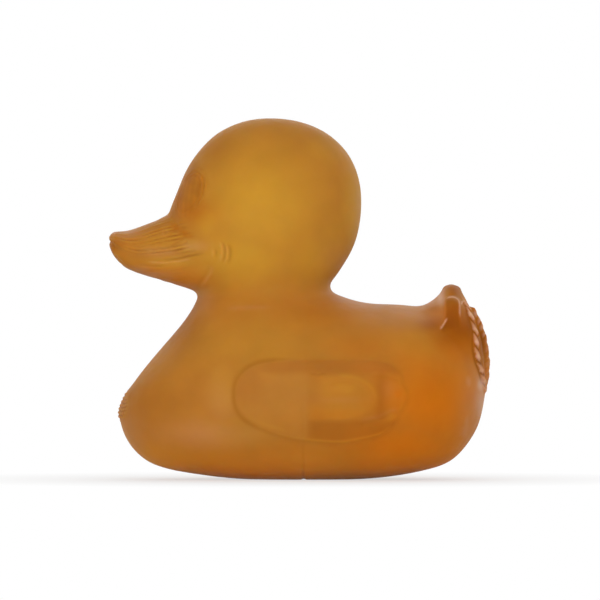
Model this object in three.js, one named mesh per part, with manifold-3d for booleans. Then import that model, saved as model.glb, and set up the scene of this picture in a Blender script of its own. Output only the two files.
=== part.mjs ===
// Rubber bath duck, moulded in one piece: body, neck, head, bill, wings, tail and eyes are one skin.
// Millimetres, +Z up. The bill points to -X, and the duck is the same on both sides of the plane Y = 0.
// The origin is on the table, under the middle of the duck's length.
import * as THREE from "three";
import { mergeVertices } from "three/addons/utils/BufferGeometryUtils.js";
import Module from "manifold-3d";

// Body
const BODY_LENGTH = 102.5; // front of the chest to the rump, without the tail ribs
const BODY_WIDTH = 76; // at the wings
const BACK_HEIGHT = 49.2; // table to the back

// Head and neck
const HEAD_LENGTH = 54.6; // back of the head to the hidden front behind the bill
const HEAD_HEIGHT = 50.4;
const HEAD_WIDTH = 53.2;
const NECK_WIDTH = 45;
const HEAD_SETBACK = 40.6; // front of the chest to the middle of the head
const HEAD_RISE = 75.9; // table to the middle of the head

// Bill
const BILL_LENGTH = 21.7; // tip to the place where the bill enters the face
const BILL_HEIGHT = 21; // top of the root to the chin
const BILL_WIDTH = 24; // over the flat middle of the bill
const BILL_DROP = 12.9; // middle of the head down to the corner of the mouth
const BILL_SEAT = 0.79; // share of the head's half length at which the bill enters the face
const LOWER_BILL_INSET = 0.8; // the lower half is narrower on each side by this much

// Eyes
const EYE_DIAMETER = 14;
const EYE_ANGLE = 33; // degrees from straight ahead to each side
const EYE_RISE = 4.2; // middle of the head up to the middle of the eye
const EYE_RIM = 1.1; // width of the raised rim, and of the groove inside it
const EYE_RELIEF = 0.5; // how far the rim stands proud of the head
const EYE_DOME_RELIEF = 0.6; // the same for the middle of the dome

// Wings
const WING_LENGTH = 48;
const WING_HEIGHT = 23;
const WING_RELIEF = 0.8; // how far the wing stands proud of the body
const COVERT_LENGTH = 20.6; // oval feather on the wing
const COVERT_HEIGHT = 13.8;
const COVERT_RELIEF = 0.5; // how far it stands proud of the wing
const COVERT_BACKSET = 6.7; // middle of the wing to the middle of the oval
const WING_BACKSET = 56.5; // front of the chest to the middle of the wing
const WING_RISE = 22.1; // table to the middle of the wing

// Tail
const TAIL_HEIGHT = 30.3; // root inside the rump to the middle feather's tip
const TAIL_LENGTH = 15.7; // the feathers' depth, front to back
const TAIL_WIDTH = 31; // over the middle feather
const TAIL_SEAT = 0.429; // share of the body's length from its middle back to the tail's root
const TAIL_RISE = 24.3; // table to the tail's root
const SIDE_FEATHER_WIDTH = 13;
const SIDE_FEATHER_SPREAD = 9.4; // middle plane to the middle of a side feather
const SIDE_FEATHER_DROP = 3.7; // its tip below the middle feather's tip
const RIB_DIAMETER = 2.9;
const RIB_STRANDS = 3;
const RIB_TURNS = 2.4;
const RIB_LAY = 0.16; // share of the radius that the strands rise and fall
const RIB_TAPER = 0.12; // share of the rib's length that tapers at each end

// Tuft of small feathers on the chest
const TUFT_ROWS = [5, 4]; // feathers in each row, from the top
const TUFT_FEATHER_LENGTH = 5.4;
const TUFT_FEATHER_WIDTH = 5.4;
const TUFT_FEATHER_HEIGHT = 1; // over the middle, half of it sunk in the skin
const TUFT_OVERLAP = 0.15; // share of its width or length that a feather hides of the next
const TUFT_RISE = 20.3; // table to the middle of the tuft
const TUFT_TIP = 0.13; // radians by which a feather's lower end stands off

// Facets
const SKIN_RINGS = 2; // rings of facets from one station to the next
const SKIN_SIDES = 36;
const BILL_RINGS = 2;
const BILL_SIDES = 22;
const TAIL_RINGS = 2;
const TAIL_SIDES = 16;
const EYE_SIDES = 20;
const WING_FACETS = 3; // along each stretch of the outline
const COVERT_FACETS = 12;
const RIB_STEPS = 24;
const RIB_SIDES = 8;
const TUFT_SIDES = 8;

const wasm = await Module();
wasm.setup();

// A closed geometry as a solid that can be joined and cut.
function solidOf(geometry) {
  const bare = geometry.clone();
  bare.deleteAttribute("normal");
  bare.deleteAttribute("uv");
  const merged = mergeVertices(bare, 1e-4);
  return new wasm.Manifold(
    new wasm.Mesh({
      numProp: 3,
      vertProperties: new Float32Array(merged.attributes.position.array),
      triVerts: new Uint32Array(merged.index.array),
    }),
  );
}

// The finished solid as a geometry with flat facets.
function geometryOf(solid) {
  const mesh = solid.getMesh();
  const geometry = new THREE.BufferGeometry();
  geometry.setAttribute("position", new THREE.BufferAttribute(mesh.vertProperties, 3));
  geometry.setIndex(new THREE.BufferAttribute(mesh.triVerts, 1));
  const flat = geometry.toNonIndexed();
  flat.computeVertexNormals();
  return flat;
}

// Places in the middle plane, as [x, z]. A body place is counted from the body's middle in body lengths and
// from the table in back heights, and a head place from the head's middle in half lengths and half heights.
const bodyAt = (x, z) => [x * BODY_LENGTH, z * BACK_HEIGHT];
const headX = HEAD_SETBACK - BODY_LENGTH / 2;
const headAt = (x, z) => [headX + (x * HEAD_LENGTH) / 2, HEAD_RISE + (z * HEAD_HEIGHT) / 2];

// A loft between two rails in the middle plane. Each station is a closed ring in the plane of its two rail
// points and the Y axis. It has a half width, the share of the way from the first rail to the second at which
// it is widest, and a fullness: 2 makes each half of the ring an ellipse, and more is squarer. It may stand
// aside of the middle plane. The first and last station may be poles.
function loft(stations, ringsBetween, sides) {
  const curve = (pick) =>
    new THREE.CatmullRomCurve3(
      stations.map((s) => new THREE.Vector3(...pick(s))),
      false,
      "catmullrom",
      0.5,
    );
  const upper = curve((s) => [s.upper[0], s.aside ?? 0, s.upper[1]]);
  const lower = curve((s) => [s.lower[0], s.aside ?? 0, s.lower[1]]);
  const form = curve((s) => [s.halfWidth, s.widest ?? 0.5, s.fullness ?? 2]);
  const rings = (stations.length - 1) * ringsBetween;
  const positions = [];
  for (let i = 0; i <= rings; i++) {
    const top = upper.getPoint(i / rings);
    const bottom = lower.getPoint(i / rings);
    const { x: halfWidth, y: widest, z: fullness } = form.getPoint(i / rings);
    for (let j = 0; j < sides; j++) {
      const angle = (2 * Math.PI * j) / sides;
      const across = Math.sign(Math.sin(angle)) * Math.abs(Math.sin(angle)) ** (2 / fullness);
      const down = Math.sign(Math.cos(angle)) * Math.abs(Math.cos(angle)) ** (2 / fullness);
      const share = down > 0 ? widest * (1 - down) : widest - (1 - widest) * down;
      const point = top.clone().lerp(bottom, share);
      positions.push(point.x, point.y + across * Math.max(halfWidth, 0), point.z);
    }
  }
  return closedRings(positions, rings + 1, sides);
}

// Faces over rings of points, with a fan over each end.
function closedRings(positions, rings, sides) {
  const faces = [];
  for (let i = 0; i < rings - 1; i++) {
    for (let j = 0; j < sides; j++) {
      const a = i * sides + j;
      const b = i * sides + ((j + 1) % sides);
      faces.push(a, b, b + sides, a, b + sides, a + sides);
    }
  }
  for (let j = 1; j < sides - 1; j++) {
    const last = (rings - 1) * sides;
    faces.push(0, j + 1, j, last, last + j, last + j + 1);
  }
  const geometry = new THREE.BufferGeometry();
  geometry.setAttribute("position", new THREE.Float32BufferAttribute(positions, 3));
  geometry.setIndex(faces);
  return outward(mergeVertices(geometry, 1e-4));
}

// The geometry without its collapsed triangles and with its faces pointing out.
function outward(geometry) {
  const index = geometry.index.array;
  const p = geometry.attributes.position;
  const faces = [];
  let volume = 0;
  const [a, b, c] = [new THREE.Vector3(), new THREE.Vector3(), new THREE.Vector3()];
  for (let i = 0; i < index.length; i += 3) {
    const [u, v, w] = [index[i], index[i + 1], index[i + 2]];
    if (u === v || v === w || w === u) continue;
    faces.push(u, v, w);
    a.fromBufferAttribute(p, u);
    b.fromBufferAttribute(p, v);
    c.fromBufferAttribute(p, w);
    volume += a.dot(b.cross(c));
  }
  geometry.setIndex(volume > 0 ? faces : faces.reverse());
  return geometry;
}

// Body, neck and head as one skin. The stations run from the rump over the belly, fan round the nape from the
// base of the chest up to the throat, and climb the head to the crown.
function skinStations() {
  const half = BODY_WIDTH / 2;
  const neck = NECK_WIDTH / 2;
  const head = HEAD_WIDTH / 2;
  const body = { widest: 0.53, fullness: 2.2 };
  const breast = (widest) => ({ widest, fullness: 2 });
  return [
    { upper: bodyAt(0.5, 0.517), lower: bodyAt(0.5, 0.517), halfWidth: 0, ...body },
    { upper: bodyAt(0.484, 0.687), lower: bodyAt(0.492, 0.38), halfWidth: 0.3 * half, ...body },
    { upper: bodyAt(0.445, 0.847), lower: bodyAt(0.47, 0.255), halfWidth: 0.5 * half, ...body },
    { upper: bodyAt(0.385, 0.935), lower: bodyAt(0.413, 0.11), halfWidth: 0.68 * half, ...body },
    { upper: bodyAt(0.311, 0.977), lower: bodyAt(0.336, 0.05), halfWidth: 0.83 * half, ...body },
    { upper: bodyAt(0.232, 0.994), lower: bodyAt(0.23, 0.011), halfWidth: 0.93 * half, ...body },
    { upper: bodyAt(0.161, 1.013), lower: bodyAt(0.107, -0.005), halfWidth: 0.985 * half, ...body },
    { upper: bodyAt(0.115, 1.037), lower: bodyAt(-0.03, -0.008), halfWidth: half, ...body },
    { upper: bodyAt(0.09, 1.058), lower: bodyAt(-0.167, 0.001), halfWidth: 0.99 * half, ...breast(0.54) },
    { upper: bodyAt(0.082, 1.072), lower: bodyAt(-0.29, 0.032), halfWidth: 0.965 * half, ...breast(0.535) },
    { upper: bodyAt(0.079, 1.082), lower: bodyAt(-0.413, 0.096), halfWidth: 0.92 * half, ...breast(0.52) },
    { upper: bodyAt(0.078, 1.09), lower: bodyAt(-0.48, 0.238), halfWidth: 0.86 * half, ...breast(0.51) },
    { upper: bodyAt(0.078, 1.097), lower: bodyAt(-0.497, 0.4), halfWidth: 0.8 * half, ...breast(0.5) },
    { upper: bodyAt(0.078, 1.105), lower: bodyAt(-0.462, 0.54), halfWidth: 0.74 * half, ...breast(0.49) },
    { upper: bodyAt(0.079, 1.114), lower: bodyAt(-0.389, 0.73), halfWidth: 0.675 * half, ...breast(0.495) },
    { upper: bodyAt(0.08, 1.124), lower: bodyAt(-0.324, 0.898), halfWidth: 1.035 * neck, ...breast(0.5) },
    { upper: headAt(0.7, -0.803), lower: headAt(-0.677, -0.989), halfWidth: neck },
    { upper: headAt(0.738, -0.759), lower: headAt(-0.75, -0.889), halfWidth: 0.86 * head },
    { upper: headAt(0.81, -0.636), lower: headAt(-0.872, -0.7), halfWidth: 0.905 * head },
    { upper: headAt(0.887, -0.494), lower: headAt(-0.954, -0.467), halfWidth: 0.955 * head },
    { upper: headAt(0.959, -0.294), lower: headAt(-0.985, -0.244), halfWidth: 0.987 * head },
    { upper: headAt(1, 0), lower: headAt(-0.979, -0.056), halfWidth: head },
    { upper: headAt(0.99, 0.256), lower: headAt(-0.897, 0.139), halfWidth: 0.96 * head },
    { upper: headAt(0.933, 0.472), lower: headAt(-0.795, 0.411), halfWidth: 0.875 * head },
    { upper: headAt(0.831, 0.661), lower: headAt(-0.651, 0.644), halfWidth: 0.75 * head },
    { upper: headAt(0.656, 0.833), lower: headAt(-0.472, 0.833), halfWidth: 0.568 * head },
    { upper: headAt(0.42, 0.944), lower: headAt(-0.256, 0.944), halfWidth: 0.35 * head },
    { upper: headAt(0.22, 0.985), lower: headAt(-0.09, 0.985), halfWidth: 0.16 * head },
    { upper: headAt(0.06, 0.997), lower: headAt(0.06, 0.997), halfWidth: 0 },
  ];
}

const skinGeometry = loft(skinStations(), SKIN_RINGS, SKIN_SIDES);
const skinMesh = new THREE.Mesh(skinGeometry, new THREE.MeshBasicMaterial({ side: THREE.DoubleSide }));

// The skin grown outwards by a relief, to cap what stands proud of it.
function grownSkin(relief) {
  const grown = skinGeometry.clone();
  grown.computeVertexNormals();
  const place = grown.attributes.position;
  const normal = grown.attributes.normal;
  for (let i = 0; i < place.count; i++) {
    place.setXYZ(
      i,
      place.getX(i) + relief * normal.getX(i),
      place.getY(i) + relief * normal.getY(i),
      place.getZ(i) + relief * normal.getZ(i),
    );
  }
  return solidOf(grown);
}

// The point where a straight line from inside the duck leaves its skin.
function onSkin(from, direction) {
  const ray = new THREE.Raycaster(from, direction.clone().normalize());
  return ray.intersectObject(skinMesh)[0].point;
}

// A place on the skin with the way out of it, found from four neighbours a little to each side.
function seatOnSkin(from, turn, reach) {
  const look = (sideways, upwards) =>
    onSkin(
      from.clone().add(new THREE.Vector3(0, 0, upwards)),
      new THREE.Vector3(-Math.cos(turn + sideways), Math.sin(turn + sideways), 0),
    );
  const place = look(0, 0);
  const swing = reach / place.distanceTo(from);
  const along = look(swing, 0).sub(look(-swing, 0));
  const up = look(0, reach).sub(look(0, -reach));
  const out = along.cross(up).normalize();
  if (out.dot(place.clone().sub(from)) < 0) out.negate();
  return { place, out };
}

// Bill: an upper and a lower half that meet at the mouth, rooted inside the face.
const billRootX = headX - (BILL_SEAT * HEAD_LENGTH) / 2;
const billAt = (x, z) => [billRootX - x * BILL_LENGTH, HEAD_RISE - BILL_DROP + z * BILL_HEIGHT];

function upperBill() {
  const half = BILL_WIDTH / 2;
  const tip = { widest: 0.72, fullness: 2.2 };
  const root = { widest: 0.8, fullness: 2.2 };
  return solidOf(
    loft(
      [
        { upper: billAt(0.997, 0.207), lower: billAt(0.997, 0.207), halfWidth: 0, ...tip },
        { upper: billAt(0.979, 0.25), lower: billAt(0.979, 0.168), halfWidth: 0.35 * half, ...tip },
        { upper: billAt(0.941, 0.293), lower: billAt(0.941, 0.12), halfWidth: 0.57 * half, ...tip },
        { upper: billAt(0.876, 0.303), lower: billAt(0.876, 0.06), halfWidth: 0.74 * half, ...tip },
        { upper: billAt(0.747, 0.316), lower: billAt(0.747, -0.022), halfWidth: 0.9 * half, ...tip },
        { upper: billAt(0.58, 0.373), lower: billAt(0.58, -0.084), halfWidth: 0.975 * half, ...tip },
        { upper: billAt(0.387, 0.459), lower: billAt(0.387, -0.086), halfWidth: 1.01 * half, ...root },
        { upper: billAt(0.193, 0.56), lower: billAt(0.193, -0.072), halfWidth: 1.12 * half, ...root },
        { upper: billAt(-0.026, 0.47), lower: billAt(-0.026, -0.03), halfWidth: 1.36 * half, ...root },
        { upper: billAt(-0.258, 0.25), lower: billAt(-0.258, 0), halfWidth: 1.64 * half, ...root },
        { upper: billAt(-0.45, 0.15), lower: billAt(-0.45, 0.03), halfWidth: 1.5 * half, ...root },
      ],
      BILL_RINGS,
      BILL_SIDES,
    ),
  );
}

function lowerBill() {
  const half = BILL_WIDTH / 2 - LOWER_BILL_INSET;
  const tip = { widest: 0.32, fullness: 2.2 };
  const root = { widest: 0.34, fullness: 2.3 };
  return solidOf(
    loft(
      [
        { upper: billAt(0.993, 0.13), lower: billAt(0.993, 0.13), halfWidth: 0, ...tip },
        { upper: billAt(0.975, 0.163), lower: billAt(0.975, 0.07), halfWidth: 0.34 * half, ...tip },
        { upper: billAt(0.941, 0.13), lower: billAt(0.936, -0.015), halfWidth: 0.56 * half, ...tip },
        { upper: billAt(0.863, 0.1), lower: billAt(0.857, -0.113), halfWidth: 0.75 * half, ...tip },
        { upper: billAt(0.747, 0.06), lower: billAt(0.747, -0.2), halfWidth: 0.9 * half, ...tip },
        { upper: billAt(0.58, 0.02), lower: billAt(0.58, -0.266), halfWidth: 0.98 * half, ...tip },
        { upper: billAt(0.387, 0.02), lower: billAt(0.387, -0.327), halfWidth: 1.05 * half, ...root },
        { upper: billAt(0.187, 0.04), lower: billAt(0.187, -0.391), halfWidth: 1.19 * half, ...root },
        { upper: billAt(-0.04, 0.07), lower: billAt(-0.03, -0.467), halfWidth: 1.46 * half, ...root },
        { upper: billAt(-0.27, 0.08), lower: billAt(-0.24, -0.54), halfWidth: 1.68 * half, ...root },
        { upper: billAt(-0.46, 0.03), lower: billAt(-0.43, -0.45), halfWidth: 1.6 * half, ...root },
      ],
      BILL_RINGS,
      BILL_SIDES,
    ),
  );
}

// Eye: a shallow dome inside a raised round rim that follows the curve of the head.
function eye() {
  const radius = EYE_DIAMETER / 2;
  const domeRadius = radius - 2 * EYE_RIM;
  const headRadius = (HEAD_LENGTH + HEAD_WIDTH) / 4;
  const from = new THREE.Vector3(headX, 0, HEAD_RISE + EYE_RISE);
  const turn = THREE.MathUtils.degToRad(EYE_ANGLE);
  const { place, out } = seatOnSkin(from, turn, radius - EYE_RIM);
  const onHead = (geometry, sunk) => {
    const moved = place.clone().addScaledVector(out, -sunk);
    geometry.applyQuaternion(new THREE.Quaternion().setFromUnitVectors(new THREE.Vector3(0, 0, 1), out));
    geometry.translate(moved.x, moved.y, moved.z);
    return solidOf(geometry);
  };
  const ring = new THREE.Shape();
  ring.absarc(0, 0, radius, 0, 2 * Math.PI, false);
  ring.holes.push(new THREE.Path().absarc(0, 0, radius - EYE_RIM, 0, 2 * Math.PI, true));
  const tube = new THREE.ExtrudeGeometry(ring, {
    depth: HEAD_WIDTH / 2,
    bevelEnabled: false,
    curveSegments: EYE_SIDES / 2,
  });
  const rim = onHead(tube, HEAD_WIDTH / 4).intersect(grownSkin(EYE_RELIEF));
  const curveDrop = domeRadius ** 2 / (2 * headRadius);
  const dome = new THREE.SphereGeometry(1, EYE_SIDES, 8);
  dome.rotateX(Math.PI / 2);
  dome.scale(domeRadius, domeRadius, curveDrop + EYE_DOME_RELIEF);
  return rim.add(onHead(dome, curveDrop));
}

// A place on the side of the body, counted from the middle of the wing in wing lengths and wing heights.
const wingAt = (x, z) =>
  new THREE.Vector2(WING_BACKSET - BODY_LENGTH / 2 + x * WING_LENGTH, WING_RISE + z * WING_HEIGHT);

// A prism over an outline, from the middle plane out through the duck's left side.
function sidePrism(shape, facets) {
  const prism = new THREE.ExtrudeGeometry(shape, {
    depth: BODY_WIDTH,
    bevelEnabled: false,
    curveSegments: facets,
  });
  return solidOf(prism.rotateX(Math.PI / 2));
}

// Wing outline: a round shoulder, a long back, three feather tips, and a full lower edge.
function wingShape() {
  const shape = new THREE.Shape();
  const thru = (points) => shape.splineThru(points.map(([x, z]) => wingAt(x, z)));
  shape.moveTo(...wingAt(-0.5, 0.12).toArray());
  thru([[-0.48, 0.26], [-0.419, 0.39], [-0.32, 0.48], [-0.18, 0.502]]);
  thru([[0.32, 0.494], [0.41, 0.45], [0.462, 0.34]]);
  thru([[0.47, 0.28], [0.458, 0.235]]);
  thru([[0.49, 0.17], [0.5, 0.09], [0.485, -0.03], [0.447, -0.13]]);
  thru([[0.447, -0.2], [0.425, -0.28], [0.361, -0.376]]);
  thru([[0.28, -0.437], [0.198, -0.473], [0.08, -0.5], [-0.052, -0.468], [-0.3, -0.355], [-0.431, -0.25]]);
  thru([[-0.478, -0.11], [-0.5, 0.12]]);
  return shape;
}

// The oval feather on the wing.
function covertShape() {
  const middle = wingAt(COVERT_BACKSET / WING_LENGTH, 0);
  const shape = new THREE.Shape();
  shape.absellipse(middle.x, middle.y, COVERT_LENGTH / 2, COVERT_HEIGHT / 2, 0, 2 * Math.PI);
  return shape;
}

function wing() {
  const pad = sidePrism(wingShape(), WING_FACETS).intersect(grownSkin(WING_RELIEF));
  const covert = sidePrism(covertShape(), COVERT_FACETS);
  return pad.add(covert.intersect(grownSkin(WING_RELIEF + COVERT_RELIEF)));
}

// Tail: places in tail lengths round the middle of its root and tail heights above it.
const tailRootX = TAIL_SEAT * BODY_LENGTH;
const tailAt = (x, z) => [tailRootX + x * TAIL_LENGTH, TAIL_RISE + z * TAIL_HEIGHT];

function middleFeather() {
  const half = TAIL_WIDTH / 2;
  const form = { fullness: 1.9 };
  return solidOf(
    loft(
      [
        { upper: tailAt(-0.39, 0.037), lower: tailAt(0.357, 0), halfWidth: 0.5 * half, ...form },
        { upper: tailAt(-0.56, 0.388), lower: tailAt(0.464, 0.323), halfWidth: 0.84 * half, ...form },
        { upper: tailAt(-0.86, 0.68), lower: tailAt(0.375, 0.591), halfWidth: half, ...form },
        { upper: tailAt(-0.66, 0.785), lower: tailAt(0.265, 0.748), halfWidth: 0.92 * half, ...form },
        { upper: tailAt(-0.43, 0.852), lower: tailAt(0.175, 0.826), halfWidth: 0.72 * half, ...form },
        { upper: tailAt(-0.3, 0.928), lower: tailAt(0.071, 0.92), halfWidth: 0.47 * half, ...form },
        { upper: tailAt(-0.214, 0.978), lower: tailAt(-0.0125, 0.976), halfWidth: 0.25 * half, ...form },
        { upper: tailAt(-0.12, 1), lower: tailAt(-0.12, 1), halfWidth: 0, ...form },
      ],
      TAIL_RINGS,
      TAIL_SIDES,
    ),
  );
}

function sideFeather() {
  const half = SIDE_FEATHER_WIDTH / 2;
  const top = 1 - SIDE_FEATHER_DROP / TAIL_HEIGHT;
  const at = (x, z) => tailAt(x, z * top);
  const spread = (share) => -share * SIDE_FEATHER_SPREAD;
  return solidOf(
    loft(
      [
        { upper: at(-0.3, 0.21), lower: at(0.39, 0.08), halfWidth: 0.75 * half, aside: spread(0.85) },
        { upper: at(-0.36, 0.547), lower: at(0.39, 0.42), halfWidth: half, aside: spread(0.97) },
        { upper: at(-0.35, 0.758), lower: at(0.286, 0.632), halfWidth: half, aside: spread(1) },
        { upper: at(-0.29, 0.895), lower: at(0.143, 0.832), halfWidth: 0.8 * half, aside: spread(1.02) },
        { upper: at(-0.21, 0.974), lower: at(0.018, 0.946), halfWidth: 0.48 * half, aside: spread(1.04) },
        { upper: at(-0.125, 1), lower: at(-0.125, 1), halfWidth: 0, aside: spread(1.05) },
      ],
      TAIL_RINGS,
      TAIL_SIDES,
    ),
  );
}

// A rib down the back of a feather, twisted like a rope, with tapered ends.
function ropeRib(points) {
  const path = new THREE.CatmullRomCurve3(points.map((p) => new THREE.Vector3(...p)));
  const frames = path.computeFrenetFrames(RIB_STEPS, false);
  const positions = [];
  for (let i = 0; i <= RIB_STEPS; i++) {
    const share = i / RIB_STEPS;
    const middle = path.getPointAt(share);
    const taper = Math.min(1, Math.sqrt(Math.min(share, 1 - share) / RIB_TAPER));
    for (let j = 0; j < RIB_SIDES; j++) {
      const angle = (2 * Math.PI * j) / RIB_SIDES;
      const strand = Math.cos(RIB_STRANDS * (angle - 2 * Math.PI * RIB_TURNS * share));
      const radius = (RIB_DIAMETER / 2) * taper * (1 + RIB_LAY * strand);
      const point = middle
        .clone()
        .addScaledVector(frames.normals[i], radius * Math.cos(angle))
        .addScaledVector(frames.binormals[i], radius * Math.sin(angle));
      positions.push(point.x, point.y, point.z);
    }
  }
  return solidOf(closedRings(positions, RIB_STEPS + 1, RIB_SIDES));
}

// A place on the tail, with its distance to the left counted in the side feathers' spread.
function ribAt(x, left, z) {
  const [tailX, tailZ] = tailAt(x, z);
  return [tailX, -left * SIDE_FEATHER_SPREAD, tailZ];
}

function middleRib() {
  return ropeRib([
    ribAt(0.25, 0, 0.77), ribAt(0.385, 0, 0.582), ribAt(0.455, 0, 0.369), ribAt(0.466, 0, 0.259),
    ribAt(0.452, 0, 0.148), ribAt(0.402, 0, 0.037), ribAt(0.32, 0, -0.074),
  ]);
}

function sideRib() {
  return ropeRib([
    ribAt(0.1, 1.04, 0.8), ribAt(0.241, 0.98, 0.619), ribAt(0.321, 0.92, 0.452),
    ribAt(0.375, 0.85, 0.314), ribAt(0.41, 0.77, 0.194), ribAt(0.43, 0.66, 0.055),
  ]);
}

// Tuft: rows of small flat feathers on the front of the chest. The lower end of each stands off a little.
function tuft() {
  const front = BODY_LENGTH / 4;
  const feathers = TUFT_ROWS.flatMap((count, row) => {
    const down = (row - (TUFT_ROWS.length - 1) / 2) * TUFT_FEATHER_LENGTH * (1 - TUFT_OVERLAP);
    const from = new THREE.Vector3(-front, 0, TUFT_RISE - down);
    return Array.from({ length: count }, (_, i) => {
      const aside = (i - (count - 1) / 2) * TUFT_FEATHER_WIDTH * (1 - TUFT_OVERLAP);
      const { place, out } = seatOnSkin(from, aside / front, TUFT_FEATHER_WIDTH / 3);
      const feather = new THREE.SphereGeometry(0.5, TUFT_SIDES, 5);
      feather.scale(TUFT_FEATHER_WIDTH, TUFT_FEATHER_LENGTH, TUFT_FEATHER_HEIGHT);
      feather.rotateX(TUFT_TIP);
      feather.applyMatrix4(new THREE.Matrix4().lookAt(out, new THREE.Vector3(), new THREE.Vector3(0, 0, 1)));
      feather.translate(place.x, place.y, place.z);
      return solidOf(feather);
    });
  });
  return feathers.reduce((all, feather) => all.add(feather));
}

// Everything below the table is cut off flat, which gives the base.
function belowTable() {
  const block = new THREE.BoxGeometry(2 * BODY_LENGTH, 2 * BODY_WIDTH, BACK_HEIGHT);
  block.translate(0, 0, -BACK_HEIGHT / 2);
  return solidOf(block);
}

// The same solid on the duck's other side.
function mirrored(solid) {
  const geometry = geometryOf(solid);
  geometry.deleteAttribute("normal");
  return solidOf(outward(mergeVertices(geometry.scale(1, -1, 1), 1e-4)));
}

function wholeDuck() {
  const skin = solidOf(skinGeometry);
  const leftSide = [eye(), wing(), sideFeather(), sideRib()];
  const rightSide = leftSide.map(mirrored);
  const middle = [upperBill(), lowerBill(), middleFeather(), middleRib(), tuft()];
  const joined = [...middle, ...leftSide, ...rightSide].reduce((all, piece) => all.add(piece), skin);
  return joined.subtract(belowTable());
}

const rubber = new THREE.MeshStandardMaterial({ color: 0xb47328, roughness: 0.6, metalness: 0 });

const geometry = geometryOf(wholeDuck());
geometry.computeBoundingBox();
geometry.translate(-(geometry.boundingBox.min.x + geometry.boundingBox.max.x) / 2, 0, 0);

const part = new THREE.Group();
const duck = new THREE.Mesh(geometry, rubber);
duck.name = "rubber_duck";
part.add(duck);

export default part;
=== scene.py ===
"""A rubber bath duck in a pale studio: a moulded skin with fine relief, in translucent rubber."""
import math

import bmesh
import bpy
import numpy as np
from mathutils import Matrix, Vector
from mathutils.bvhtree import BVHTree


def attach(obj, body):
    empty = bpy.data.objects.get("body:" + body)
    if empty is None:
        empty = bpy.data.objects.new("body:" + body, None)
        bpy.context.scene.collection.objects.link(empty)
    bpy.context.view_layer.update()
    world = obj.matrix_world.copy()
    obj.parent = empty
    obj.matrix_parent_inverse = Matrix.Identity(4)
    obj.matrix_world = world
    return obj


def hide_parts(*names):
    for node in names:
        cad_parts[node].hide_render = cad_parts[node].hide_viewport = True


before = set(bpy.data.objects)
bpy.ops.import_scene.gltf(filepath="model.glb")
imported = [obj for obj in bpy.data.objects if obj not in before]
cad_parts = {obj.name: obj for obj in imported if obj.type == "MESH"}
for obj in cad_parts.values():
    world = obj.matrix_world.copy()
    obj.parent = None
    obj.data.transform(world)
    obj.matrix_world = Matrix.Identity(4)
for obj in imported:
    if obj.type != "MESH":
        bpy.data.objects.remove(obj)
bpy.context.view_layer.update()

MM = 0.001  # the frame is in metres, and the relief below is worked out in millimetres

# The skin
VOXEL = 0.4  # size of the even faces that replace the flat facets
EASE_ROUNDS = 150
EASE_FACTOR = 1.4  # of the Smooth modifier, on plain skin
BILL_EASE = 0.08  # as shares of that
TAIL_EASE = 0.04
CORNER_EASE = 0.2  # round the three corners of the side view that follow
CORNER_REACH = 6
NAPE = (8.7, 53.5)
THROAT = (-28.3, 50.9)
BROW = (-36.6, 74.2)
MOST_TRIANGLES = 190000
FULLNESS = [  # places in the side view, the reach round each and how far the skin is let out there
    (14, 68, 22, 0.35), (50, 24, 16, 0.2), (-38, 5, 12, 0.25), (46, 8, 6, 0.05), (-30, 44, 9, -0.35),
    (-50, 21, 6, -0.4), (-5, 94, 13, 0.1), (-38, 74, 4, -0.35), (31, 48, 7, 0.35), (51, 44, 4, -0.35),
    (51.5, 24, 3, 0.15), (19, 53, 6, -0.45), (-22, 98, 8, -0.1), (9, 95, 6, -0.12),
]

# Wing, whose middle feather is called the covert
WING_MIDDLE = (5.7, 22.1)
WING_LENGTH = 48
WING_HEIGHT = 23
WING_RELIEF = 0.55
WING_SHAPE = [  # in wing lengths and wing heights from its middle
    (-0.5, 0.07), (-0.485, 0.26), (-0.42, 0.41), (-0.31, 0.49), (-0.12, 0.5), (0.13, 0.5),
    (0.31, 0.49), (0.41, 0.44), (0.462, 0.335), (0.467, 0.215), (0.497, 0.12), (0.492, -0.01),
    (0.45, -0.15), (0.427, -0.275), (0.348, -0.4), (0.215, -0.47), (0.09, -0.5), (-0.12, -0.46),
    (-0.3, -0.37), (-0.423, -0.25), (-0.485, -0.1),
]
WING_FRONT_SHARE = 0.5  # of its relief, at its front end
COVERT_MIDDLE = (11.8, 23.1)
COVERT_HALVES = (9.6, 6.3)
COVERT_RELIEF = 0.4
COVERT_FRONT = 2.6  # where the painted glow of the covert and the painted shade of the feathers below it start
UPPER_FEATHER_GROOVE = [(28.2, 27.9), (25.5, 28.7), (21.5, 29.6), (16.5, 30.2)]
LOWER_FEATHER_GROOVE = [(27.4, 18.9), (25.2, 18.5), (22, 17), (16.5, 15.9)]
COVERT_NICK = [(3.1, 30), (5.2, 29.6), (7.4, 30.1)]

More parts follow.
